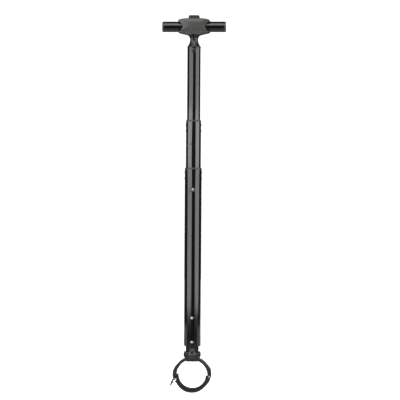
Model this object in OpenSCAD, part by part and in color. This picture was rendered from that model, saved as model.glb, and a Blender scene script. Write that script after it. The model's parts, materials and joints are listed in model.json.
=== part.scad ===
// Telescopic pull-up handle: a T-handle on three telescoping tubes, tilting on
// a knuckle above a quick-release ring clamp that closes on a round stem.
// Millimetres. The origin is the middle of the clamped stem, +Y runs along the
// stem to the back, +X is the handle's right and +Z is up the upright pole.

/* [Ring clamp] */
// Radius of the round stem that the ring closes on
stem_r = 26; // [25.5:0.1:26]
// Inner radius of the metal ring, where the rubber liner sits
ring_in_r = 29.5; // [29.3:0.1:29.6]
// Outer radius of the metal ring's lower half
ring_out_r = 32.8; // [32.6:0.1:33]
// Outer radius of the metal ring's upper half
ring_top_r = 34.7; // [34.5:0.1:34.8]
// How much thicker the lower half gets towards its hinge
ring_swell = 2.6; // [2.4:0.1:2.7]
// How much thicker the upper half gets towards its hinge and its latch
ring_top_swell = 2.1; // [1.9:0.1:2.2]
// Width of the ring along the stem
ring_w = 20; // [19.5:0.5:20.5]
// Height of the flat inside the top of the ring
ring_flat_z = 27.3; // [27.2:0.1:27.4]
// Height of the seat cut into the top of the ring for the bracket
seat_z = 30.5; // [30.4:0.1:30.6]
// Distance of the ring's hinge pin to the right of the stem axis
hinge_x = 33.1; // [33:0.1:33.2]
// Height of the ring's hinge pin
hinge_z = -2.4; // [-2.6:0.1:-2.2]
// Radius of the ring's hinge pin
hinge_pin_r = 1.5; // [1.4:0.05:1.6]
// Radius of the hinge knuckles
knuckle_r = 3.3; // [3.2:0.1:3.4]
// Width of the upper half's middle knuckle
knuckle_w = 6.8; // [6:0.2:7]

/* [Latch] */
// Distance of the latch pin to the left of the stem axis
latch_x = 33.4; // [33.3:0.1:33.5]
// Height of the latch pin
latch_z = -7; // [-7.1:0.1:-6.9]
// Radius of the latch pin
latch_pin_r = 1.3; // [1.2:0.05:1.4]
// Radius of the round boss of the lever
latch_boss_r = 2.6; // [2.5:0.1:2.7]
// Width of the lever along its pin
latch_w = 10.4; // [9:0.2:10.4]
// Height of the catch on the lower half that the lever hooks
catch_z = -13; // [-13.2:0.1:-12.8]
// Angle that the lever stands open, as the clamp is set
latch_open_a = 30; // [28:1:34]

/* [Knuckle] */
// Height of the axis that the pole tilts on
pivot_z = 39.3; // [39.2:0.1:39.6]
// Radius of the pivot bolt
pivot_r = 3; // [2.8:0.1:3]
// Half the width of the tongue between the ears
tongue_x = 6.5; // [6.3:0.1:6.5]
// Radius of the tongue's round end
tongue_r = 5.6; // [5.4:0.1:5.6]
// Inner face of each ear, from the middle
ear_in_x = 7.5; // [7.4:0.1:7.6]
// Outer face of each ear, from the middle
ear_out_x = 13.8; // [13.6:0.1:14]
// Radius of the ears round the pivot
ear_r = 5.5; // [5.3:0.1:5.5]
// Outer end of the bolt head and of the cap nut, from the middle
bolt_end_x = 16.7; // [16.4:0.1:17]

/* [Tubes] */
// Radius of the outer tube
outer_r = 16; // [15.9:0.05:16.1]
// Radius of the middle tube
middle_r = 14.25; // [14.2:0.05:14.3]
// Radius of the upper tube
upper_r = 12.5; // [12.45:0.05:12.55]
// Wall of all three tubes
wall = 1.2; // [1.15:0.05:1.2]
// Bottom end of the outer tube
outer_z0 = 56; // [55.8:0.1:56.2]
// Top face of the outer tube's rim
outer_z1 = 393; // [390:1:396]
// Top face of the middle tube's rim, as the pole is set
middle_z1 = 483.4; // [480:0.2:486]
// Top end of the upper tube, as the pole is set
upper_z1 = 619.3; // [619:0.1:619.5]

/* [Rims and bushes] */
// Height of the plastic rim on top of a tube
rim_h = 3; // [2.5:0.5:3.5]
// Running gap between a bush and the tube that slides in it
bush_gap = 0.1; // [0.08:0.01:0.12]
// Length of the outer tube's bush, rim included
outer_bush_h = 48; // [46:1:50]
// Length of the middle tube's bush, rim included
middle_bush_h = 27.4; // [26.4:0.5:29]
// How far the snap pegs stand proud of the tube
peg_proud = 0.5; // [0.3:0.1:0.6]

/* [Brakes] */
// Height of the middle tube's brake shoe, as the pole is set
middle_brake_z = 200; // [198:1:202]
// Height of the upper tube's brake shoe, as the pole is set
upper_brake_z = 370; // [368:1:372]
// Height of each block's collar, which carries the shoe
collar_h = 20; // [18:1:20]
// Height of the spigot that holds the block in its tube
spigot_h = 20; // [19:1:21]
// Radius of a brake shoe
shoe_r = 3; // [2.9:0.1:3]
// Radius of the push rod
rod_r = 2.5; // [2.4:0.1:2.5]
// Travel of the button and of the plunger
press = 3; // [2.5:0.5:3]

/* [Handle] */
// Height of the grip's axis
grip_z = 660.3; // [660:0.1:660.6]
// Radius of the grip
grip_r = 9.9; // [9.8:0.1:10]
// Half the length of the whole grip
grip_half = 60.3; // [58:0.1:64]
// Half the length of the hub along the grip
hub_half = 30; // [29.6:0.1:30.4]
// Bottom face of the hub
hub_z0 = 645; // [644.8:0.1:645.2]
// Top face of the hub
hub_z1 = 675.9; // [675.7:0.1:676]
// Depth of the hub in its middle, front to back
hub_d = 27; // [26.6:0.2:27.4]
// Radius of the neck's waist
waist_r = 7.55; // [7.4:0.05:7.8]
// Height of the neck's waist
waist_z = 636; // [635:0.5:637]
// Width of the push button
button_w = 20.4; // [20:0.2:21]
// Depth of the push button, front to back
button_d = 15; // [14:0.5:16]
// Top of the push button
button_z1 = 681.7; // [681.4:0.1:682]

/* [Hidden] */
$fn = 64;

// Ring
half_w = ring_w / 2;
hinge_a = atan2(hinge_z, hinge_x);
swing_gap = 0.3;
far = 60;
lug_r = 2.8;
step_r = 29;
step_a0 = 136;
step_a1 = 152;
lug_y0 = latch_w / 2 + 0.3;
catch_r = 1.7;
catch_x = -30.7;
jaw_tip_a = 198.5;
jaw_tab_a = 184.5;
jaw_tab_r = 30.5;
liner_r = ring_in_r - 0.05;
tip_x = -28.7;

// Knuckle
plate_z = 33.3;
plate_half_x = 14.4;
plate_half_y = 6.4;
tab_r = 5;
tab_y = half_w + 1.6;
tab_screw_z = 29.2;
bracket_screw_x = 10.4;
bracket_screw_z = 35;
tongue_screw_z = pivot_z + 3.2;
tongue_y = 4.5;
tongue_top_z = 72;
fit_gap = 0.05;
pivot_head_r = 5.8;
plug_neck_z = 45.1;
plug_flange_z = 55;
plug_top_z = 115;
rivet_low_z = 63.4;
rivet_high_z = 108.9;
rivet_r = 2;
rivet_head_r = 2.6;

// Tubes and bushes
outer_tube_z1 = outer_z1 - rim_h;
middle_tube_z1 = middle_z1 - rim_h;
middle_tube_z0 = middle_brake_z + collar_h / 2;
upper_tube_z0 = upper_brake_z + collar_h / 2;
seat_gap = 0.02;
outer_pegs = [384.2, 372.8];
middle_pegs = [474, 463.4];
peg_r = 2.4;
bush_rivet_z = 351.7;
detent_z = 437.5;
detent_a = 16;
detent_r = 1.5;

// Brakes: the wedge's faces lie on y + z = const, z counted from the shoe
wedge_mid = 1;
wedge_half = 2;
wedge_gap = 0.2;
wedge_x = 1;
shoe_tail_y = -5.6;
shoe_tip_gap = 0.07;
plunger_head_r = 4.5;
plunger_spring_z = 14;
plunger_head_z = 28;
plunger_top_z = 34;
peg_up = 20;

// Handle
grip_wall = 1.4;
cap_t = 3.3;
notch_x = 20.4;
crease_z = 651;
hub_end_d = 22.4;
seat_washer_z = 653;
neck_foot_r = 13.05;
neck_foot_z = 621.8;
neck_top_r = 12.4;
slot_z = 635.8;
slot_half = 2.2;
slot_y = 5.1;
neck_screw_z = 613.8;
neck_screw_r = 4.6;
tenon_r = 9;
tenon_lip_r = 10.4;
tenon_z1 = 648.6;
spring_top_z = 678.8;
button_z0 = 673.9;
rail_z = 671.9;
rail_h = 1.2;
rail_y = 1.5;
hub_screw_r = 1.75;
hub_screw_at = [[-17, 671.9], [17, 671.9], [-14, 648], [14, 648]];

// Round bar along one axis, between two coordinates
module bar_x(r, x0, x1) translate([x0, 0, 0]) rotate([0, 90, 0]) cylinder(r = r, h = x1 - x0);
module bar_y(r, y0, y1) translate([0, y0, 0]) rotate([-90, 0, 0]) cylinder(r = r, h = y1 - y0);
module bar_z(r, z0, z1) translate([0, 0, z0]) cylinder(r = r, h = z1 - z0);

// Box between two corners
module box(a, b) translate(a) cube(b - a);

// Outline in X and Z, given thickness from y0 to y1
module slab_xz(y0, y1) translate([0, y1, 0]) rotate([90, 0, 0]) linear_extrude(y1 - y0) children();

// Outline in Y and Z, given thickness from x0 to x1
module slab_yz(x0, x1) translate([x0, 0, 0]) rotate([90, 0, 90]) linear_extrude(x1 - x0) children();

// Disc with a domed top: height edge_h at its rim and top_h in its middle
module domed_disc(r, edge_h, top_h) {
    rise = top_h - edge_h;
    dome_r = (r * r + rise * rise) / (2 * rise);
    intersection() {
        cylinder(r = r, h = top_h);
        translate([0, 0, top_h - dome_r]) sphere(dome_r);
    }
}

// Wedge of the XZ plane between two directions, the long way if it passes a corner
module between_angles(points, a0, a1) {
    polygon(concat([[0, 0], far * [cos(a0), sin(a0)]], points, [far * [cos(a1), sin(a1)]]));
}

module ring_2d(r_in, r_out) {
    difference() {
        circle(r_out, $fn = 128);
        circle(r_in, $fn = 128);
    }
}

// Metal ring, growing thicker from 42 to 14 degrees before its right and left ends
function swell(a) = let (t = max(0, min(1, (42 - abs(a)) / 28))) t * t * (3 - 2 * t);
module clamp_ring_2d(out_r, right_swell, left_swell) {
    difference() {
        polygon([for (k = [0:143])
            let (a = k * 2.5 - 180, r = out_r + right_swell * swell(a) + left_swell * swell(180 - abs(a)))
                r * [cos(a), sin(a)]]);
        circle(ring_in_r, $fn = 128);
    }
}

// Helical compression spring, wound round Z
function wire_ring(r, wire_r, z, a, sides) = [
    for (k = [0:sides - 1]) let (t = 360 * k / sides, q = r + wire_r * cos(t))
        [q * cos(a), q * sin(a), z + wire_r * sin(t)]];
module coil_spring(r, wire_r, z0, z1, turns) {
    sides = 6;
    steps = turns * 14;
    rise = z1 - z0 - 2 * wire_r;
    points = [for (i = [0:steps])
        each wire_ring(r, wire_r, z0 + wire_r + rise * i / steps, 360 * turns * i / steps, sides)];
    first = [for (k = [0:sides - 1]) k];
    last = [for (k = [0:sides - 1]) steps * sides + sides - 1 - k];
    skin = [for (i = [0:steps - 1], k = [0:sides - 1])
        let (a = i * sides + k, b = i * sides + (k + 1) % sides)
            each [[a, a + sides, b], [b, a + sides, b + sides]]];
    polyhedron(points = points, faces = concat([first], skin, [last]));
}

// ---- Ring clamp ----

module latch_at() translate([-latch_x, 0, latch_z]) children();
module hinge_at() translate([hinge_x, 0, hinge_z]) children();

module upper_half_outline() {
    difference() {
        intersection() {
            union() {
                clamp_ring_2d(ring_top_r, ring_top_swell, ring_top_swell);
                intersection() {
                    ring_2d(step_r, ring_in_r + 1);
                    between_angles([], step_a0, step_a1);
                }
                intersection() {
                    circle(ring_in_r + 1);
                    translate([-far / 2, ring_flat_z]) square([far, far]);
                }
            }
            between_angles([[far, far], [-far, far]], hinge_a + 0.4, 183.5);
        }
        translate([-far / 2, seat_z]) square([far, far]);
    }
}

// Lug of the upper half that carries the latch pin, in front of and behind the lever
module latch_lug(y0, y1) {
    latch_at() bar_y(lug_r, y0, y1);
    slab_xz(y0, y1)
        polygon([[-33.8, 2], [-36, -1.5], [-36.2, -6.5], [-33.4, -9.8], [-31.4, -9.4], [-31.2, -3], [-31.2, 1]]);
}

module ring_upper_half() {
    color("#3b3d40") difference() {
        union() {
            slab_xz(-half_w, half_w) upper_half_outline();
            hinge_at() bar_y(knuckle_r, -knuckle_w / 2, knuckle_w / 2);
            latch_lug(-half_w, -lug_y0);
            latch_lug(lug_y0, half_w);
        }
        for (s = [-1, 1]) mirror([0, s > 0 ? 0 : 1, 0])
            hinge_at() bar_y(knuckle_r + swing_gap, knuckle_w / 2, half_w + 1);
        hinge_at() bar_y(hinge_pin_r + seat_gap, -half_w - 1, half_w + 1);
        latch_at() bar_y(latch_pin_r + seat_gap, -half_w - 1, half_w + 1);
        latch_at() bar_y(latch_boss_r + 0.6, -lug_y0, lug_y0);
        bracket_screw_shapes();
        front_tab_screw_shape();
    }
}

module upper_pad() {
    color("#141414") box([-11, -9, stem_r + 0.1], [11, 9, ring_flat_z]);
}

module ring_lower_half() {
    color("#3b3d40") difference() {
        union() {
            slab_xz(-half_w, half_w) intersection() {
                clamp_ring_2d(ring_out_r, ring_swell, 0);
                between_angles([[-far, -far], [far, -far]], jaw_tip_a, 360 + hinge_a - 0.9);
            }
            slab_xz(-half_w, half_w) intersection() {
                ring_2d(ring_in_r, jaw_tab_r);
                between_angles([[-far, -far]], jaw_tab_a, jaw_tip_a + 1);
            }
            for (s = [-1, 1]) mirror([0, s > 0 ? 0 : 1, 0])
                hinge_at() bar_y(knuckle_r, knuckle_w / 2 + swing_gap, half_w);
            translate([catch_x, 0, catch_z]) bar_y(catch_r, -latch_w / 2 + 0.6, latch_w / 2 - 0.6);
        }
        hinge_at() bar_y(knuckle_r + swing_gap, -knuckle_w / 2 - swing_gap, knuckle_w / 2 + swing_gap);
        hinge_at() bar_y(hinge_pin_r + fit_gap, -half_w - 1, half_w + 1);
    }
}

module lower_liner() {
    color("#141414") slab_xz(-half_w, half_w) difference() {
        intersection() {
            ring_2d(stem_r, liner_r);
            between_angles([[-far, 0], [-far, -far], [far, -far]], 177, 360 + hinge_a);
        }
        translate([-far, -10.6]) square([far + tip_x, far]);
    }
}

module ring_hinge_pin() {
    color("#b9bcc0") hinge_at() {
        bar_y(hinge_pin_r, -half_w, half_w);
        translate([0, -half_w, 0]) rotate([90, 0, 0]) domed_disc(hinge_pin_r + 0.2, 0.3, 0.8);
        translate([0, half_w, 0]) rotate([-90, 0, 0]) domed_disc(hinge_pin_r + 0.2, 0.3, 0.8);
    }
}

// Lever outline in X and Z with the latch shut, counted from its pin: the boss, the thumb tab
// and, on the tab's inner side, the tooth that reaches under the catch
module lever_outline() {
    shank_x = 0.6;
    tooth_x = 1.9;
    tooth_z = catch_z - catch_r - 0.3 - latch_z;
    circle(latch_boss_r);
    polygon([
        [-2.6, -0.5], [shank_x, -0.5], [shank_x, tooth_z], [tooth_x, tooth_z], [tooth_x, tooth_z - 0.8],
        [shank_x + 0.5, tooth_z - 2.4], [1.4, -13.8], [-0.9, -15], [-2.6, -9]]);
    translate([0.1, -13.9]) circle(1.5);
}

module latch_lever() {
    color("#2b2d30") latch_at() difference() {
        slab_xz(-latch_w / 2, latch_w / 2) rotate(-latch_open_a) lever_outline();
        bar_y(latch_pin_r + fit_gap, -latch_w, latch_w);
    }
}

module latch_pin() {
    color("#b9bcc0") latch_at() {
        bar_y(latch_pin_r, -half_w, half_w);
        translate([0, -half_w, 0]) rotate([90, 0, 0]) domed_disc(latch_pin_r + 0.2, 0.3, 0.8);
        translate([0, half_w, 0]) rotate([-90, 0, 0]) domed_disc(latch_pin_r + 0.2, 0.3, 0.8);
    }
}

// ---- Bracket and knuckle ----

module bracket_screw_shapes() {
    head_z = ring_flat_z + 0.1;
    for (s = [-1, 1]) translate([s * bracket_screw_x, 0, 0]) {
        bar_z(1.75, head_z, bracket_screw_z);
        translate([0, 0, head_z]) cylinder(r1 = 2.7, r2 = 1.75, h = 1.5);
    }
}

module bracket_screws() {
    color("#a7aaae") bracket_screw_shapes();
}

module front_tab_screw_shape() {
    translate([0, 0, tab_screw_z]) bar_y(1.2, -tab_y, -6);
    translate([0, -tab_y, tab_screw_z]) rotate([90, 0, 0]) domed_disc(1.7, 0.4, 0.9);
}

module front_tab_screw() {
    color("#8f9296") front_tab_screw_shape();
}

module at_pivot() translate([0, 0, pivot_z]) children();

module ear(x0, x1) {
    at_pivot() bar_x(ear_r, x0, x1);
    box([x0, -ear_r, seat_z], [x1, ear_r, pivot_z]);
}

module clevis_bracket() {
    color("#232426") difference() {
        union() {
            ear(-ear_out_x, -ear_in_x);
            ear(ear_in_x, ear_out_x);
            box([-plate_half_x, -plate_half_y, seat_z], [plate_half_x, plate_half_y, plate_z]);
            box([-tab_r, -tab_y, seat_z], [tab_r, -plate_half_y, plate_z - 2]);
            slab_xz(-tab_y, -half_w) intersection() {
                translate([0, plate_z - tab_r]) circle(tab_r);
                translate([-tab_r, ring_flat_z]) square([2 * tab_r, 2 * tab_r]);
            }
        }
        at_pivot() bar_x(pivot_r + seat_gap, -far, far);
        bracket_screw_shapes();
        front_tab_screw_shape();
    }
}

// Domed screw head or cap nut on the pivot, standing out from face x0 towards the left or right
module pivot_head(side) {
    at_pivot() translate([side * ear_out_x, 0, 0]) rotate([0, 90 * side, 0])
        domed_disc(pivot_head_r, 1.4, bolt_end_x - ear_out_x);
}

module pivot_bolt() {
    color("#1c1d1f") {
        at_pivot() bar_x(pivot_r, -ear_out_x, ear_out_x + 1.6);
        pivot_head(-1);
    }
}

module pivot_nut() {
    color("#1c1d1f") difference() {
        pivot_head(1);
        at_pivot() bar_x(pivot_r + seat_gap, 0, ear_out_x + 1.7);
    }
}

module friction_washers() {
    color("#c9b27a") for (s = [-1, 1]) mirror([s > 0 ? 0 : 1, 0, 0]) at_pivot() difference() {
        bar_x(tongue_r - 0.3, tongue_x + fit_gap, ear_in_x);
        bar_x(pivot_r + seat_gap, 0, far);
    }
}

module knuckle_tongue() {
    color("#8d9094") difference() {
        union() {
            at_pivot() bar_x(tongue_r, -tongue_x, tongue_x);
            box([-tongue_x, -tongue_y, pivot_z], [tongue_x, tongue_y, tongue_top_z]);
        }
        at_pivot() bar_x(pivot_r + 0.08, -far, far);
        rivet_shape(rivet_low_z);
        tongue_screw_shape();
    }
}

module tongue_screw_shape() {
    translate([0, 0, tongue_screw_z]) {
        bar_y(2.8, -6, -tongue_y - 0.1);
        bar_y(1.2, -5, -3.4);
    }
}

module tongue_screw() {
    color("#c4c6c9") tongue_screw_shape();
}

module base_plug() {
    color("#202124") difference() {
        union() {
            box([-12, -6, plug_neck_z], [12, 6, plug_flange_z]);
            bar_z(14.8, plug_flange_z, outer_z0);
            bar_z(outer_r - wall - seat_gap, outer_z0, plug_top_z);
        }
        box([-tongue_x, -tongue_y, plug_neck_z - 1], [tongue_x, tongue_y, tongue_top_z]);
        at_pivot() bar_x(tongue_r, -tongue_x, tongue_x);
        box([-5, -7, plug_neck_z - 1], [5, -tongue_y, plug_neck_z + 6]);
        tongue_screw_shape();
        rivet_shape(rivet_low_z);
        rivet_shape(rivet_high_z);
        bar_z(10, 76, plug_top_z + 1);
    }
}

// Rivet right through the tube, with a domed head in front and behind
module rivet_shape(z) {
    translate([0, 0, z]) {
        bar_y(rivet_r, -outer_r, outer_r);
        for (s = [-1, 1]) mirror([0, s > 0 ? 0 : 1, 0])
            translate([0, outer_r - 0.25, 0]) rotate([-90, 0, 0]) domed_disc(rivet_head_r, 0.3, 1.1);
    }
}

module base_rivets() {
    color("#d9dadc") {
        rivet_shape(rivet_low_z);
        rivet_shape(rivet_high_z);
    }
}

// ---- Tubes and their bushes ----

module snap_pegs(r_in, r_out, heights) {
    for (z = heights, s = [-1, 1]) mirror([s > 0 ? 0 : 1, 0, 0])
        translate([0, 0, z]) bar_x(peg_r, r_in, r_out);
}

module tube(r, z0, z1) {
    difference() {
        bar_z(r, z0, z1);
        bar_z(r - wall, z0 - 1, z1 + 1);
    }
}

module outer_tube() {
    color("#17181a") difference() {
        tube(outer_r, outer_z0, outer_tube_z1);
        rivet_shape(rivet_low_z);
        rivet_shape(rivet_high_z);
        snap_pegs(outer_r - wall - 1, outer_r + 1, outer_pegs);
        translate([0, 0, bush_rivet_z]) bar_y(4.75, -outer_r - 1, 0);
    }
}

// Rim flush with its tube, and a sleeve inside it that guides the next tube
module top_bush(r, bore_r, z1, length, pegs) {
    difference() {
        union() {
            bar_z(r, z1 - rim_h, z1 - 0.6);
            translate([0, 0, z1 - 0.6]) cylinder(r1 = r, r2 = r - 0.6, h = 0.6);
            bar_z(r - wall - seat_gap, z1 - length, z1 - rim_h);
            snap_pegs(r - wall - 0.3, r + peg_proud, pegs);
        }
        bar_z(bore_r, z1 - length - 1, z1 + 1);
    }
}

module bush_rivet_shape() {
    translate([0, 0, bush_rivet_z]) {
        bar_y(1.6, -15.4, -middle_r - 0.3);
        translate([0, -15.2, 0]) rotate([90, 0, 0]) domed_disc(2.1, 0.2, 0.7);
    }
}

module outer_top_bush() {
    color("#55575a") difference() {
        union() {
            top_bush(outer_r, middle_r + bush_gap, outer_z1, outer_bush_h, outer_pegs);
            translate([0, 0, bush_rivet_z]) difference() {
                bar_y(4.7, -15.2, 0);
                bar_z(middle_r + bush_gap, -far, far);
            }
        }
        bush_rivet_shape();
    }
}

module bush_rivet() {
    color("#d9dadc") bush_rivet_shape();
}

module middle_tube() {
    color("#17181a") difference() {
        tube(middle_r, middle_tube_z0, middle_tube_z1);
        snap_pegs(middle_r - wall - 1, middle_r + 1, middle_pegs);
        block_peg_shapes(middle_brake_z, middle_r);
        rotate([0, 0, -detent_a]) translate([0, 0, detent_z]) bar_y(detent_r, -middle_r - 1, -upper_r);
    }
}

module middle_top_bush() {
    color("#55575a") top_bush(middle_r, upper_r + bush_gap, middle_z1, middle_bush_h, middle_pegs);
}

module upper_tube() {
    color("#17181a") difference() {
        tube(upper_r, upper_tube_z0, upper_z1);
        neck_screw_shape();
        block_peg_shapes(upper_brake_z, upper_r);
    }
}

// ---- Brakes: a shoe on a 45 degree wedge at the bottom end of a tube ----

module block_peg_shapes(brake_z, r) {
    for (s = [-1, 1]) mirror([s > 0 ? 0 : 1, 0, 0])
        translate([0, 0, brake_z + peg_up]) bar_x(1.5, 7.8, r - 0.2);
}

// Block that closes the tube's end, with a collar that slides in the next tube
module brake_block(brake_z, r, next_bore_r) {
    difference() {
        translate([0, 0, brake_z]) {
            difference() {
                union() {
                    bar_z(next_bore_r - 0.3, -collar_h / 2, collar_h / 2);
                    bar_z(r - wall - seat_gap, collar_h / 2, collar_h / 2 + spigot_h);
                }
                bar_z(rod_r + 0.1, -collar_h / 2 + 2, far);
                box([-wedge_x - 0.2, -7.7, -6.8], [wedge_x + 0.2, 6.7, far]);
                bar_y(shoe_r + 0.08, shoe_tail_y - press - 0.6, far);
            }
        }
        block_peg_shapes(brake_z, r);
    }
}

// Flat end of the rod: its slanted part draws the shoe in as the rod goes down
module wedge(brake_z) {
    low = wedge_mid - wedge_half;
    high = wedge_mid + wedge_half;
    bottom = -shoe_r - 0.3;
    top = shoe_r + press + 0.3;
    translate([0, 0, brake_z]) slab_yz(-wedge_x, wedge_x) polygon([
        [low - bottom, bottom], [high - bottom, bottom], [high - top, top], [rod_r, top],
        [rod_r, top + 3], [low - top, top + 3], [low - top, top]]);
}

module brake_shoe(brake_z, next_bore_r) {
    low = wedge_mid - wedge_half - wedge_gap;
    high = wedge_mid + wedge_half + wedge_gap;
    reach = shoe_r + 1;
    translate([0, 0, brake_z]) difference() {
        intersection() {
            bar_y(shoe_r, shoe_tail_y, far);
            bar_z(next_bore_r - shoe_tip_gap, -shoe_r - 1, shoe_r + 1);
        }
        slab_yz(-wedge_x - 0.15, wedge_x + 0.15)
            polygon([[low + reach, -reach], [high + reach, -reach],
                [high - reach, reach], [low - reach, reach]]);
    }
}

module middle_brake_block() {
    color("#2a2b2d") difference() {
        brake_block(middle_brake_z, middle_r, outer_r - wall);
        bar_z(plunger_head_r + 0.1, middle_brake_z + plunger_spring_z, middle_brake_z + far);
    }
}

module middle_block_pegs() {
    color("#a7aaae") block_peg_shapes(middle_brake_z, middle_r);
}

module middle_brake_shoe() {
    color("#b08d57") brake_shoe(middle_brake_z, outer_r - wall);
}

// Pushed down by the upper block when the upper tube is fully in
module middle_release_plunger() {
    color("#c4c6c9") {
        wedge(middle_brake_z);
        bar_z(rod_r, middle_brake_z + shoe_r + press + 2, middle_brake_z + plunger_top_z);
        bar_z(plunger_head_r, middle_brake_z + plunger_head_z, middle_brake_z + plunger_top_z);
    }
}

module middle_plunger_spring() {
    color("#9a9da1")
        coil_spring(3.5, 0.5, middle_brake_z + plunger_spring_z, middle_brake_z + plunger_head_z, 5);
}

module upper_brake_block() {
    color("#2a2b2d") brake_block(upper_brake_z, upper_r, middle_r - wall);
}

module upper_block_pegs() {
    color("#a7aaae") block_peg_shapes(upper_brake_z, upper_r);
}

module upper_brake_shoe() {
    color("#b08d57") brake_shoe(upper_brake_z, middle_r - wall);
}

module push_rod() {
    color("#c4c6c9") {
        wedge(upper_brake_z);
        bar_z(rod_r, upper_brake_z + shoe_r + press + 2, button_z1 - 2.5);
    }
}

// ---- Handle ----

// Radius of the neck at a height: a smooth waist between the skirt and the hub
function neck_r(z) = z < waist_z
    ? waist_r + (neck_foot_r - waist_r) * pow((waist_z - z) / (waist_z - neck_foot_z), 2)
    : waist_r + (neck_top_r - waist_r) * pow((z - waist_z) / (hub_z0 - waist_z), 2);

module neck() {
    steps = 14;
    heights = [for (i = [0:steps]) neck_foot_z + (hub_z0 - neck_foot_z) * i / steps];
    color("#202124") difference() {
        union() {
            rotate_extrude($fn = 96) polygon(concat(
                [[0, upper_z1], [12.7, upper_z1]],
                [for (z = heights) [neck_r(z), z]],
                [[0, hub_z0]]));
            bar_z(tenon_r, hub_z0, tenon_z1 + 1.2);
            bar_z(tenon_lip_r, tenon_z1 - 1.6, tenon_z1);
            bar_z(upper_r - wall - seat_gap, 596, upper_z1);
        }
        bar_z(rod_r + 0.2, 590, 660);
        bar_z(7, 590, 606);
        translate([0, 0, neck_screw_z]) bar_y(neck_screw_r + 2.2, -far, -upper_r + 0.9);
        neck_screw_shape();
        translate([0, 0, slot_z]) bar_y(slot_half, -far, -slot_y);
        box([-slot_half, -far, slot_z], [slot_half, -slot_y, hub_z0]);
    }
}

module neck_screw_shape() {
    translate([0, 0, neck_screw_z]) {
        bar_y(1.5, -upper_r, -7.4);
        translate([0, -upper_r + 0.9, 0]) rotate([90, 0, 0]) domed_disc(neck_screw_r, 1.1, 2);
    }
}

module neck_screw() {
    color("#3a3c3f") neck_screw_shape();
}

// Front outline of the hub: an arched top, a shallow keel and a pointed notch for each grip
module hub_outline() {
    keel = [[11, hub_z0 - 0.6], [14, hub_z0 + 0.5], [22, hub_z0 + 2.4], [27.5, hub_z0 + 3.8],
        [hub_half, hub_z0 + 4.7], [hub_half, crease_z]];
    notch = [[hub_half - 4.8, crease_z + 0.6], [hub_half - 6.8, crease_z + 4], [notch_x, grip_z + 0.3],
        [hub_half - 6.6, grip_z + 5], [hub_half - 1.4, grip_z + 9.4], [hub_half, grip_z + 9.6]];
    arch = [[hub_half, hub_z1 - 4.3], [hub_half - 1.3, hub_z1 - 2.9], [hub_half - 5, hub_z1 - 1.8],
        [hub_half - 10, hub_z1 - 0.8], [hub_half - 19, hub_z1]];
    half = concat(keel, notch, arch);
    count = len(half);
    polygon(concat(half, [for (i = [1:count]) [-half[count - i][0], half[count - i][1]]]));
}

// Side outline of the hub: gently rounded above the crease and drawn in below it
module hub_side() {
    r = 3.5;
    d = hub_d / 2;
    keel_y = 10.6;
    bulge = 0.014;
    mid_z = (crease_z + hub_z1) / 2;
    belly = [for (z = [crease_z:1.5:hub_z1 - r]) [d - bulge * pow(z - mid_z, 2), z]];
    inset = bulge * pow(hub_z1 - r - mid_z, 2);
    corner = [for (a = [15:15:90]) [d - inset - r + r * cos(a), hub_z1 - r + r * sin(a)]];
    half = concat([[keel_y, hub_z0 - 0.6]], belly, corner);
    count = len(half);
    polygon(concat(half, [for (i = [1:count]) [-half[count - i][0], half[count - i][1]]]));
}

// Plan outline of the hub: front and back bulge in the middle
module hub_plan() {
    d = hub_d / 2;
    sag = d - hub_end_d / 2;
    r = (hub_half * hub_half + sag * sag) / (2 * sag);
    intersection_for (s = [-1, 1]) translate([0, s * (r - d)]) circle(r, $fn = 256);
}

module hub_body() {
    well_x = button_w / 2 + 0.3;
    well_y = button_d / 2 + 0.3;
    difference() {
        intersection() {
            slab_xz(-far, far) hub_outline();
            slab_yz(-far, far) hub_side();
            translate([0, 0, hub_z0 - 2]) linear_extrude(far) hub_plan();
        }
        translate([0, 0, grip_z]) bar_x(grip_r + seat_gap, -far, far);
        bar_z(tenon_r + seat_gap, hub_z0, grip_z);
        bar_z(neck_top_r + 0.2, hub_z0 - 2, hub_z0);
        bar_z(tenon_lip_r + seat_gap, tenon_z1 - 1.6 - seat_gap, tenon_z1 + seat_gap);
        box([-well_x, -well_y, grip_z], [well_x, well_y, hub_z1 + 1]);
        box([-well_x, -well_y - rail_y, grip_z], [well_x, well_y + rail_y, rail_z + rail_h + 0.2]);
        hub_screw_shapes();
    }
}

module hub_front_shell() {
    color("#46484b") intersection() {
        hub_body();
        box([-far, -far, 600], [far, 0, 700]);
    }
}

module hub_back_shell() {
    color("#46484b") difference() {
        intersection() {
            hub_body();
            box([-far, 0, 600], [far, far, 700]);
        }
        for (p = hub_screw_at) translate([p[0], 0, p[1]]) bar_y(hub_screw_r + fit_gap, 8.4, far);
    }
}

module hub_screw_shapes() {
    for (p = hub_screw_at) translate([p[0], 0, p[1]]) {
        bar_y(1.2, -7, 8.5);
        bar_y(hub_screw_r, 8.4, 9.8);
    }
}

module hub_screws() {
    color("#6b6e72") hub_screw_shapes();
}

module grip_tube() {
    half = grip_half - cap_t;
    color("#1a1b1d") difference() {
        translate([0, 0, grip_z]) difference() {
            bar_x(grip_r, -half, half);
            bar_x(grip_r - grip_wall, -half - 1, half + 1);
        }
        bar_z(5.4, grip_z, hub_z1);
        bar_z(rod_r + 0.2, hub_z0, grip_z);
    }
}

module end_cap() {
    half = grip_half - cap_t;
    translate([0, 0, grip_z]) {
        bar_x(grip_r - grip_wall - fit_gap, half - 8, half);
        bar_x(grip_r, half, half + cap_t - 1);
        translate([half + cap_t - 1, 0, 0]) rotate([0, 90, 0])
            cylinder(r1 = grip_r, r2 = grip_r - 1, h = 1);
    }
}

module grip_end_cap_left() {
    color("#1a1b1d") mirror([1, 0, 0]) end_cap();
}

module grip_end_cap_right() {
    color("#1a1b1d") end_cap();
}

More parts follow.
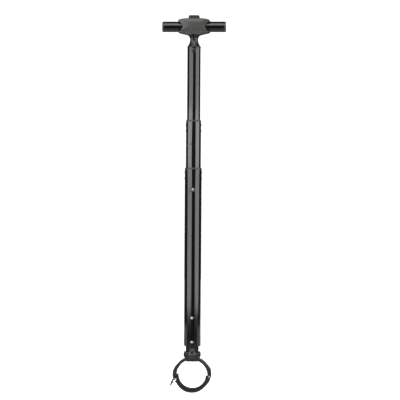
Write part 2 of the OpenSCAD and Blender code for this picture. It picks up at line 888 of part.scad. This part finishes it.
module spring_seat() {
    color("#a7aaae") difference() {
        bar_z(4.4, seat_washer_z, seat_washer_z + 0.8);
        bar_z(rod_r + 0.3, seat_washer_z - 1, seat_washer_z + 2);
    }
}

module button_spring() {
    color("#9a9da1") coil_spring(3.6, 0.5, seat_washer_z + 0.8, spring_top_z, 7);
}

// Button outline from the front, with round top corners
module button_outline() {
    r = 2.4;
    top = button_z1 - r;
    half = button_w / 2;
    translate([-half, button_z0]) square([2 * half, top - button_z0]);
    translate([-half + r, button_z0]) square([2 * half - 2 * r, button_z1 - button_z0]);
    for (s = [-1, 1]) translate([s * (half - r), top]) circle(r);
}

module push_button() {
    half = button_w / 2;
    color("#18191b") difference() {
        union() {
            slab_xz(-button_d / 2, button_d / 2) button_outline();
            for (s = [-1, 1]) mirror([0, s > 0 ? 0 : 1, 0]) {
                box([-half, button_d / 2 - rail_y, rail_z], [half, button_d / 2, button_z0]);
                box([-half, button_d / 2, rail_z], [half, button_d / 2 + rail_y, rail_z + rail_h]);
            }
        }
        bar_z(4.6, button_z0 - 1, spring_top_z);
        bar_z(rod_r + seat_gap, button_z0, button_z1 - 2.5);
    }
}

ring_upper_half();
upper_pad();
ring_lower_half();
lower_liner();
ring_hinge_pin();
latch_lever();
latch_pin();
clevis_bracket();
bracket_screws();
front_tab_screw();
pivot_bolt();
pivot_nut();
friction_washers();
knuckle_tongue();
tongue_screw();
base_plug();
base_rivets();
outer_tube();
outer_top_bush();
bush_rivet();
middle_tube();
middle_top_bush();
middle_brake_block();
middle_block_pegs();
middle_brake_shoe();
middle_release_plunger();
middle_plunger_spring();
upper_tube();
upper_brake_block();
upper_block_pegs();
upper_brake_shoe();
push_rod();
neck();
neck_screw();
hub_front_shell();
hub_back_shell();
hub_screws();
grip_tube();
grip_end_cap_left();
grip_end_cap_right();
spring_seat();
button_spring();
push_button();
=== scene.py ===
"""Looks for the telescopic pull handle: materials, detailed pieces, studio light and camera."""
import json
import math

import bmesh
import bpy
from mathutils import Matrix, Vector


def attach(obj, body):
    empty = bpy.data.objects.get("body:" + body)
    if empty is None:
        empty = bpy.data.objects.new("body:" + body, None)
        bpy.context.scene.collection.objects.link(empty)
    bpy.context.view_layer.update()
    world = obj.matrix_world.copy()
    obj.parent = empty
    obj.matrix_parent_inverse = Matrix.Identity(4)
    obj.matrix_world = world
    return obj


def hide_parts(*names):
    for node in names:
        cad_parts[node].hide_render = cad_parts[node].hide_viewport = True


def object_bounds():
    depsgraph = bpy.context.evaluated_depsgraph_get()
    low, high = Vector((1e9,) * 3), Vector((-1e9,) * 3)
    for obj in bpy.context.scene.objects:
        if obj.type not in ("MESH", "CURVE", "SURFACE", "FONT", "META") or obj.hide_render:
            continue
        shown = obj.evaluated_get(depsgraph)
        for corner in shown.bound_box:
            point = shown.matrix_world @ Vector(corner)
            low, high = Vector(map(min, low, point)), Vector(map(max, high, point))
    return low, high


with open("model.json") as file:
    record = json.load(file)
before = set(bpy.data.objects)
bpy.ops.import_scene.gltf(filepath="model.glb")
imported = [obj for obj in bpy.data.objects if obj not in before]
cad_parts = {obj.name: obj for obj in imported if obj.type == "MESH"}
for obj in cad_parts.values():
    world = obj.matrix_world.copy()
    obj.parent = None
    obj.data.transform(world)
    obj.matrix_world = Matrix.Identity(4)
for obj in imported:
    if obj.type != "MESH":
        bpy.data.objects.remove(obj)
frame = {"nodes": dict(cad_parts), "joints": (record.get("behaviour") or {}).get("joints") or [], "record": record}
nodes = frame["nodes"]
cad_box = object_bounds()
MM = 0.001
BODY_OF = {node: body for body, members in frame["record"]["behaviour"]["bodies"].items() for node in members}
SLOT_OF = {part["node"]: part["material_slot"] for part in frame["record"]["subparts"]}


# ---- Materials ----

# The range that most of a noise texture's values lie in
NOISE_LOW = 0.3
NOISE_HIGH = 0.7


class Shader:
    """One procedural material: a principled shader and the nodes that feed it."""

    def __init__(self, name, color, roughness, metallic=0.0, **sockets):
        self.material = bpy.data.materials.new(name)
        self.material.use_nodes = True
        self.tree = self.material.node_tree
        self.shader = self.tree.nodes["Principled BSDF"]
        self.color = color
        self.roughness = roughness
        self.shader.inputs["Base Color"].default_value = (*color, 1)
        self.shader.inputs["Roughness"].default_value = roughness
        self.shader.inputs["Metallic"].default_value = metallic
        for socket, value in sockets.items():
            self.shader.inputs[socket.replace("_", " ")].default_value = value
        self.coords = self.tree.nodes.new("ShaderNodeTexCoord").outputs["Object"]
        self.normal = None

    def node(self, kind, **inputs):
        made = self.tree.nodes.new("ShaderNode" + kind)
        for socket, value in inputs.items():
            made.inputs[socket.replace("_", " ")].default_value = value
        return made

    def link(self, output, target):
        self.tree.links.new(output, target)

    def stretched(self, x, y, z):
        """Object coordinates scaled apart along the axes, for brushed or drawn surfaces."""
        mapping = self.node("Mapping", Scale=(x, y, z))
        self.link(self.coords, mapping.inputs["Vector"])
        return mapping.outputs["Vector"]

    def noise(self, scale, detail, coords=None):
        made = self.node("TexNoise", Scale=scale, Detail=detail, Roughness=0.55)
        self.link(coords or self.coords, made.inputs["Vector"])
        return made.outputs["Fac"]

    def grains(self, scale):
        made = self.node("TexVoronoi", Scale=scale)
        self.link(self.coords, made.inputs["Vector"])
        return made.outputs["Distance"]

    def mottle(self, fac, amount):
        """Base colour that varies by this fraction either way."""
        ramp = self.node("ValToRGB")
        ramp.color_ramp.elements[0].position = NOISE_LOW
        ramp.color_ramp.elements[1].position = NOISE_HIGH
        ramp.color_ramp.elements[0].color = (*[c * (1 - amount) for c in self.color], 1)
        ramp.color_ramp.elements[1].color = (*[c * (1 + amount) for c in self.color], 1)
        self.link(fac, ramp.inputs["Fac"])
        self.link(ramp.outputs["Color"], self.shader.inputs["Base Color"])

    def gloss(self, fac, spread):
        """Roughness that varies by this much either way."""
        made = self.node("MapRange")
        made.inputs["From Min"].default_value = NOISE_LOW
        made.inputs["From Max"].default_value = NOISE_HIGH
        made.inputs["To Min"].default_value = max(0.02, self.roughness - spread)
        made.inputs["To Max"].default_value = self.roughness + spread
        self.link(fac, made.inputs["Value"])
        self.link(made.outputs["Result"], self.shader.inputs["Roughness"])

    def bump(self, height, depth, strength):
        """Adds relief of this depth in metres to what is there already."""
        made = self.node("Bump", Strength=strength, Distance=depth)
        self.link(height, made.inputs["Height"])
        if self.normal:
            self.link(self.normal, made.inputs["Normal"])
        self.normal = made.outputs["Normal"]
        self.link(self.normal, self.shader.inputs["Normal"])


def gloss_black_tube():
    s = Shader("gloss_black_tube", (0.003, 0.003, 0.0029), 0.11, Specular_IOR_Level=0.62,
               Coat_Weight=0.35, Coat_Roughness=0.08)
    drawn = s.noise(900, 2, coords=s.stretched(1, 1, 0.012))
    smudge = s.noise(38, 4)
    s.mottle(smudge, 0.25)
    s.gloss(smudge, 0.03)
    s.bump(drawn, 0.000006, 0.5)
    s.bump(s.noise(420, 2), 0.000004, 0.4)
    return s.material


def grained_plastic(name, color, roughness, grain, depth, **sockets):
    s = Shader(name, color, roughness, **sockets)
    cloud = s.noise(55, 4)
    s.mottle(s.noise(grain * 0.6, 3), 0.16)
    s.gloss(cloud, 0.06)
    s.bump(s.grains(grain), depth, 0.7)
    s.bump(s.noise(grain * 2.2, 2), depth * 0.5, 0.6)
    return s.material


def black_rubber():
    s = Shader("black_rubber", (0.007, 0.007, 0.007), 0.75, Specular_IOR_Level=0.35)
    s.mottle(s.noise(160, 5), 0.3)
    s.gloss(s.noise(70, 3), 0.08)
    s.bump(s.noise(1500, 3), 0.00003, 0.6)
    return s.material


def powder_coat():
    s = Shader("clamp_alloy", (0.012, 0.012, 0.0118), 0.4, Specular_IOR_Level=0.55)
    s.mottle(s.noise(260, 4), 0.22)
    s.gloss(s.noise(90, 4), 0.07)
    s.bump(s.noise(1300, 2), 0.00002, 0.8)
    s.bump(s.noise(300, 2), 0.00002, 0.5)
    return s.material


def blasted_alloy():
    s = Shader("cast_grey_alloy", (0.11, 0.11, 0.108), 0.46, metallic=0.4)
    s.mottle(s.noise(400, 5), 0.2)
    s.gloss(s.noise(140, 3), 0.08)
    s.bump(s.noise(2600, 2), 0.000015, 0.8)
    return s.material


def bright_metal(name, color, roughness, streak):
    s = Shader(name, color, roughness, metallic=1.0)
    s.mottle(s.noise(500, 4), 0.1)
    s.gloss(s.noise(streak, 3, coords=s.stretched(1, 1, 0.2)), 0.07)
    s.bump(s.noise(2200, 2), 0.000006, 0.5)
    return s.material


def black_steel():
    s = Shader("black_steel", (0.012, 0.012, 0.012), 0.34, metallic=0.35, Specular_IOR_Level=0.6)
    s.mottle(s.noise(420, 5), 0.3)
    s.gloss(s.noise(180, 4), 0.1)
    s.bump(s.noise(1800, 2), 0.00001, 0.6)
    return s.material


MATERIALS = {
    "gloss_black_tube": gloss_black_tube(),
    "grey_rim_plastic": grained_plastic("grey_rim_plastic", (0.04, 0.04, 0.039), 0.5, 1600, 0.00002),
    "hub_plastic": grained_plastic("hub_plastic", (0.052, 0.0515, 0.0495), 0.27, 1300, 0.00003),
    "black_casting": grained_plastic("black_casting", (0.01, 0.01, 0.01), 0.3, 1500, 0.000012),
    "satin_black_plastic": grained_plastic(
        "satin_black_plastic", (0.03, 0.0298, 0.029), 0.24, 1800, 0.000006, Coat_Weight=0.3),
    "clamp_alloy": powder_coat(),
    "black_rubber": black_rubber(),
    "black_steel": black_steel(),
    "cast_grey_alloy": blasted_alloy(),
    "bright_steel": bright_metal("bright_steel", (0.44, 0.44, 0.44), 0.34, 900),
    "plain_steel": bright_metal("plain_steel", (0.5, 0.5, 0.51), 0.3, 700),
    "spring_steel": bright_metal("spring_steel", (0.36, 0.36, 0.37), 0.32, 700),
    "block_plastic": grained_plastic("block_plastic", (0.045, 0.045, 0.047), 0.5, 1500, 0.00002),
    "brake_brass": bright_metal("brake_brass", (0.62, 0.44, 0.19), 0.3, 700),
    "washer_plastic": grained_plastic("washer_plastic", (0.03, 0.03, 0.03), 0.45, 1500, 0.00001),
}


def dress(obj, slot):
    obj.data.materials.clear()
    obj.data.materials.append(MATERIALS[slot])


def shade(mesh, sharp_angle=32):
    for polygon in mesh.polygons:
        polygon.use_smooth = True
    mesh.set_sharp_from_angle(angle=math.radians(sharp_angle))


for name, obj in nodes.items():
    dress(obj, SLOT_OF[name])
    shade(obj.data)


# ---- Pieces that stand for CAD nodes ----

def place(obj, node_names, slot):
    """Finishes a new piece: its place on a body, its finish and the CAD nodes that it stands for."""
    bpy.context.scene.collection.objects.link(obj)
    dress(obj, slot)
    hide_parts(*node_names)
    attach(obj, BODY_OF[node_names[0]])


def cast(node, grain, passes):
    """Cast or moulded version of a CAD solid: the same form, with its edges softly rounded."""
    obj = bpy.data.objects.new(node + "_cast", nodes[node].data.copy())
    place(obj, [node], SLOT_OF[node])
    remesh = obj.modifiers.new("skin", "REMESH")
    remesh.mode = "VOXEL"
    remesh.voxel_size = grain * MM
    remesh.use_smooth_shade = True
    soften = obj.modifiers.new("soften", "SMOOTH")
    soften.factor = 0.5
    soften.iterations = passes


# Each casting's grain in millimetres, which sets how fine its skin is, and its smoothing passes
CASTINGS = {
    "hub_front_shell": (0.4, 5), "hub_back_shell": (0.4, 5), "neck": (0.4, 4),
    "ring_upper_half": (0.4, 3), "ring_lower_half": (0.4, 3), "latch_lever": (0.25, 2),
    "clevis_bracket": (0.35, 3), "knuckle_tongue": (0.35, 3), "base_plug": (0.4, 3),
    "push_button": (0.35, 5), "lower_liner": (0.4, 2), "grip_end_cap_left": (0.35, 3),
    "grip_end_cap_right": (0.35, 3), "outer_top_bush": (0.4, 2), "middle_top_bush": (0.35, 2),
}
for node, (grain, passes) in CASTINGS.items():
    cast(node, grain, passes)


TURNED_SIDES = 60
DOME_STEPS = 8


def cross_recess(size):
    """Outline of a cross-shaped screwdriver recess: its radius at each angle."""
    return lambda a: size * (0.3 + 0.7 * abs(math.cos(2 * a)) ** 4)


def hex_socket(size):
    """Outline of a hexagonal socket: its radius at each angle, with this distance to the flats."""
    return lambda a: size / math.cos((a % (math.pi / 3)) - math.pi / 6)


def turn(bm, rings, origin, axis):
    """Adds a closed solid of stacked rings, each (height, radius), the heights counted along axis."""
    tilt = Vector((0, 0, 1)).rotation_difference(Vector(axis)).to_matrix()
    base = Vector(origin)

    def put(x, y, z):
        return bm.verts.new((base + tilt @ Vector((x, y, z))) * MM)

    loops = []
    for height, radius in rings:
        loop = []
        for k in range(TURNED_SIDES):
            a = 2 * math.pi * k / TURNED_SIDES
            r = radius(a) if callable(radius) else radius
            loop.append(put(r * math.cos(a), r * math.sin(a), height))
        loops.append(loop)
    first, last = put(0, 0, rings[0][0]), put(0, 0, rings[-1][0])
    for k in range(TURNED_SIDES):
        after = (k + 1) % TURNED_SIDES
        bm.faces.new((first, loops[0][after], loops[0][k]))
        bm.faces.new((last, loops[-1][k], loops[-1][after]))
        for low, high in zip(loops, loops[1:]):
            bm.faces.new((low[k], low[after], high[after], high[k]))


def dome(head_r, edge, top, rim_r, mouth_r):
    """Rings of a domed head from its rim to its mouth, edge high at its full radius and top in the middle."""
    radii = [rim_r + (mouth_r - rim_r) * step / DOME_STEPS for step in range(DOME_STEPS + 1)]
    return [(top - (top - edge) * (r / head_r) ** 2, r) for r in radii]


def screw_rings(shank_r, length, head_r, edge, top, recess, recess_r, depth):
    """Rings of a screw with a domed, recessed head: its under-side at height 0 and its tip at -length."""
    rings = [(-length, shank_r * 0.75), (0.35 - length, shank_r), (0, shank_r)]
    rings += [(0, head_r - 0.12), (0.12, head_r), (edge - 0.15, head_r), (edge - 0.03, head_r - 0.1)]
    rings += dome(head_r, edge, top, head_r * 0.95, recess_r * 1.08)
    mouth = rings[-1][0]
    rings += [(mouth, recess), (mouth - 0.08, lambda a: 0.96 * recess(a))]
    rings += [(mouth - depth, lambda a: 0.86 * recess(a)), (mouth - depth - 0.05, 0.15)]
    return rings


def dome_rings(height, head_r, edge, top, dimple_r):
    """Rings of a domed head with a small dimple, from its under-side at this height outwards."""
    rings = [(height, head_r - 0.1), (height + 0.1, head_r), (height + edge, head_r)]
    rings += [(height + z, r) for z, r in dome(head_r, edge, top, head_r * 0.97, dimple_r * 1.1)]
    mouth = rings[-1][0]
    return rings + [(mouth - 0.05, dimple_r), (mouth - 0.25, dimple_r * 0.7)]


def pin_rings(half, shank_r, head_r, edge, top, dimple_r):
    """Rings of a pin or rivet with the same domed head at both ends."""
    front = dome_rings(half, head_r, edge, top, dimple_r)
    back = [(-height, radius) for height, radius in reversed(front)]
    return back + [(-half, shank_r), (half, shank_r)] + front


def turned_piece(node, places, axis, rings):
    """Turned parts with rounded, recessed or dimpled heads in place of a plain CAD node."""
    bm = bmesh.new()
    for origin in places:
        turn(bm, rings, origin, axis)
    bmesh.ops.recalc_face_normals(bm, faces=bm.faces)
    mesh = bpy.data.meshes.new(node + "_detailed")
    bm.to_mesh(mesh)
    bm.free()
    shade(mesh, 28)
    place(bpy.data.objects.new(node + "_detailed", mesh), [node], SLOT_OF[node])


# Places of the turned parts in millimetres: the middle of a head's under-side, or of a pin's length.
# The pivot and the two pins of the ring are where the frame has their joints.
JOINT_AT = {j["name"]: [c / MM for c in j["pos_m"]] for j in frame["joints"] if "pos_m" in j}
PIVOT_Z = JOINT_AT["pole_tilt"][2]
FORWARDS = (0, -1, 0)
BACKWARDS = (0, 1, 0)
LEFTWARDS = (-1, 0, 0)
RIGHTWARDS = (1, 0, 0)
OUTER_TUBE_R = 16
UPPER_TUBE_R = 12.5
RING_HALF_WIDTH = 10
EAR_FACE_X = 13.8
NECK_SEAT_Y = 0.9 - UPPER_TUBE_R
TONGUE_SEAT_Y = -4.6
TAB_FACE_Y = -RING_HALF_WIDTH - 1.6
HUB_SEAT_Y = 8.4
RIVET_SEAT = OUTER_TUBE_R - 0.25
BUSH_SEAT_Y = 0.8 - OUTER_TUBE_R
NECK_SCREW_Z = 613.8
TONGUE_SCREW_Z = PIVOT_Z + 3.2
TAB_SCREW_Z = 29.2
HUB_SCREWS = [(-17, 671.9), (17, 671.9), (-14, 648), (14, 648)]
BASE_RIVETS_Z = [63.4, 108.9]
BUSH_RIVET_Z = 351.7

turned_piece("neck_screw", [(0, NECK_SEAT_Y, NECK_SCREW_Z)], FORWARDS,
             screw_rings(shank_r=1.5, length=4.2, head_r=4.6, edge=1.1, top=2.0,
                         recess=hex_socket(1.7), recess_r=1.97, depth=1.2))
turned_piece("tongue_screw", [(0, TONGUE_SEAT_Y, TONGUE_SCREW_Z)], FORWARDS,
             screw_rings(shank_r=1.2, length=1.2, head_r=2.8, edge=1.05, top=1.4,
                         recess=cross_recess(1.5), recess_r=1.5, depth=0.7))
turned_piece("front_tab_screw", [(0, TAB_FACE_Y, TAB_SCREW_Z)], FORWARDS,
             screw_rings(shank_r=1.2, length=5.6, head_r=1.7, edge=0.4, top=0.9,
                         recess=cross_recess(1.0), recess_r=1.0, depth=0.45))
turned_piece("pivot_bolt", [(-EAR_FACE_X, 0, PIVOT_Z)], LEFTWARDS,
             screw_rings(shank_r=3.0, length=29.2, head_r=5.8, edge=1.4, top=2.9,
                         recess=hex_socket(2.4), recess_r=2.78, depth=1.5))
turned_piece("hub_screws", [(x, HUB_SEAT_Y, z) for x, z in HUB_SCREWS], BACKWARDS,
             screw_rings(shank_r=1.2, length=15.4, head_r=1.75, edge=1.2, top=1.4,
                         recess=cross_recess(1.05), recess_r=1.05, depth=0.6))
turned_piece("base_rivets", [(0, 0, z) for z in BASE_RIVETS_Z], FORWARDS,
             pin_rings(RIVET_SEAT, shank_r=2.0, head_r=2.6, edge=0.3, top=1.1, dimple_r=0.55))
turned_piece("bush_rivet", [(0, BUSH_SEAT_Y, BUSH_RIVET_Z)], FORWARDS,
             [(-0.65, 1.6), (0, 1.6)] + dome_rings(0, head_r=2.1, edge=0.2, top=0.7, dimple_r=0.5))
turned_piece("ring_hinge_pin", [JOINT_AT["ring_open"]], FORWARDS,
             pin_rings(RING_HALF_WIDTH, shank_r=1.5, head_r=1.7, edge=0.3, top=0.8, dimple_r=0.4))
turned_piece("latch_pin", [JOINT_AT["latch_turn"]], FORWARDS,
             pin_rings(RING_HALF_WIDTH, shank_r=1.3, head_r=1.5, edge=0.3, top=0.8, dimple_r=0.4))
turned_piece("pivot_nut", [(EAR_FACE_X, 0, PIVOT_Z)], RIGHTWARDS,
             [(1.7, 3.02), (0, 3.02)] + dome_rings(0, head_r=5.8, edge=1.4, top=2.9, dimple_r=0.7))


# ---- Stage: floor, light and camera ----

# The camera looks at AIM from DISTANCE, and its picture is VIEW_WIDTH wide there, all in metres
AIM = Vector((0.0131, 0.0, 0.3321))
AZIMUTH = math.radians(3.0)
ELEVATION = math.radians(0.4)
DISTANCE = 2.6
VIEW_WIDTH = 0.7588
ROLL = math.radians(0.357)
SENSOR = 36.0
FLOOR_GAP = 0.0005
AMBIENT = (0.055, 0.055, 0.056, 1)
WHITE = (1, 1, 1, 1)

# Softboxes: their two angles to the right of the viewer's side, their lower and upper edges in metres
# and their radiance
SOFTBOX_RADIUS = 1.25
SOFTBOXES = {
    "left_low": ((-15, -76), 0.02, 0.41, 2.6), "right_low": ((35, 90), 0.02, 0.41, 2.6),
    "left_middle": ((-17, -88), 0.41, 0.57, 3.9), "right_middle": ((36, 98), 0.41, 0.57, 3.9),
    "left_high": ((-12, -84), 0.57, 1.5, 2.4), "right_high": ((37, 102), 0.57, 1.5, 2.5),
}
# Nearer, low strips from the sides round to the back, in the same form, which light the clamp ring
STRIP_RADIUS = 0.5
STRIPS = {"low_left": ((-70, -150), -0.03, 0.055, 0.6), "low_right": ((70, 150), -0.03, 0.055, 0.6)}
GRIP_CENTRE = (0, 0, 0.66)
ABOVE_RING = (0, 0, 0.04)


def backdrop_paint():
    """Pale paint that glows by itself, so that the floor and the wall look evenly light."""
    s = Shader("backdrop_paint", (0.9, 0.9, 0.9), 0.8, Emission_Color=WHITE, Emission_Strength=0.97)
    s.mottle(s.noise(6, 3), 0.01)
    return s.material


def add_backdrop():
    """Floor that curves up into a wall behind the object, as in a product studio."""
    reach, bend, height, steps = 4.0, 1.4, 5.0, 16
    floor_z = cad_box[0].z - FLOOR_GAP
    profile = [(-reach, 0.0)]
    for step in range(steps + 1):
        a = math.pi / 2 * step / steps
        profile.append((reach - bend + bend * math.sin(a), bend * (1 - math.cos(a))))
    profile.append((reach, height))
    bm = bmesh.new()
    rows = [[bm.verts.new((x, y, floor_z + z)) for y, z in profile] for x in (-reach, reach)]
    for k in range(len(profile) - 1):
        bm.faces.new((rows[0][k], rows[1][k], rows[1][k + 1], rows[0][k + 1]))
    mesh = bpy.data.meshes.new("studio_backdrop")
    bm.to_mesh(mesh)
    bm.free()
    for polygon in mesh.polygons:
        polygon.use_smooth = True
    backdrop = bpy.data.objects.new("studio_backdrop", mesh)
    bpy.context.scene.collection.objects.link(backdrop)
    backdrop.visible_glossy = False
    backdrop.visible_diffuse = False
    mesh.materials.append(backdrop_paint())


def around(angle, radius):
    """Place on the floor plan at an angle to the right of the line from the object to the viewer."""
    return Vector((radius * math.sin(math.radians(angle)), -radius * math.cos(math.radians(angle)), 0))


def add_panel(name, location, width, height, glow, aim):
    """A flat panel of light of this radiance, turned towards a point."""
    light = bpy.data.lights.new(name, "AREA")
    light.shape = "RECTANGLE"
    light.size = width
    light.size_y = height
    light.energy = glow * math.pi * width * height
    obj = bpy.data.objects.new(name, light)
    obj.location = location
    obj.rotation_euler = (Vector(aim) - Vector(location)).to_track_quat("-Z", "Y").to_euler()
    obj.visible_camera = False
    bpy.context.scene.collection.objects.link(obj)


def add_softbox(name, angles, radius, low, high, glow):
    """An upright panel between two angles round the object."""
    a, b = around(angles[0], radius), around(angles[1], radius)
    middle = Vector((0, 0, (low + high) / 2))
    add_panel(name, (a + b) / 2 + middle, (b - a).length, high - low, glow, middle)


def add_world():
    """Dim light from all round, which the camera sees as white."""
    world = bpy.data.worlds.new("studio")
    world.use_nodes = True
    tree = world.node_tree
    background = tree.nodes["Background"]
    background.inputs["Color"].default_value = AMBIENT
    backdrop = tree.nodes.new("ShaderNodeBackground")
    backdrop.inputs["Color"].default_value = WHITE
    path = tree.nodes.new("ShaderNodeLightPath")
    mix = tree.nodes.new("ShaderNodeMixShader")
    tree.links.new(path.outputs["Is Camera Ray"], mix.inputs["Fac"])
    tree.links.new(background.outputs["Background"], mix.inputs[1])
    tree.links.new(backdrop.outputs["Background"], mix.inputs[2])
    tree.links.new(mix.outputs["Shader"], tree.nodes["World Output"].inputs["Surface"])
    bpy.context.scene.world = world


def add_camera():
    camera = bpy.data.cameras.new("camera")
    camera.sensor_width = SENSOR
    camera.lens = SENSOR * DISTANCE / VIEW_WIDTH
    camera.clip_start = 0.01
    camera.clip_end = 50
    obj = bpy.data.objects.new("camera", camera)
    bpy.context.scene.collection.objects.link(obj)
    away = Vector((
        math.sin(AZIMUTH) * math.cos(ELEVATION),
        -math.cos(AZIMUTH) * math.cos(ELEVATION),
        math.sin(ELEVATION)))
    obj.location = AIM + DISTANCE * away
    facing = (-away).to_track_quat("-Z", "Y").to_matrix().to_4x4()
    obj.matrix_world = Matrix.Translation(obj.location) @ facing @ Matrix.Rotation(ROLL, 4, "Z")
    bpy.context.scene.camera = obj


add_backdrop()
for name, (angles, low, high, glow) in SOFTBOXES.items():
    add_softbox("softbox_" + name, angles, SOFTBOX_RADIUS, low, high, glow)
for name, (angles, low, high, glow) in STRIPS.items():
    add_softbox(name, angles, STRIP_RADIUS, low, high, glow)
add_panel("softbox_top", (0, -0.9, 1.75), width=1.6, height=1.3, glow=2.4, aim=GRIP_CENTRE)
add_panel("ring_back", (0, 0.3, 0.1), width=0.6, height=0.12, glow=0.8, aim=ABOVE_RING)
add_panel("floor_bounce", (0, -0.1, cad_box[0].z), width=1.2, height=1.2, glow=0.45, aim=(0, -0.1, 1))
add_world()
add_camera()
bpy.context.scene.view_settings.view_transform = "Standard"
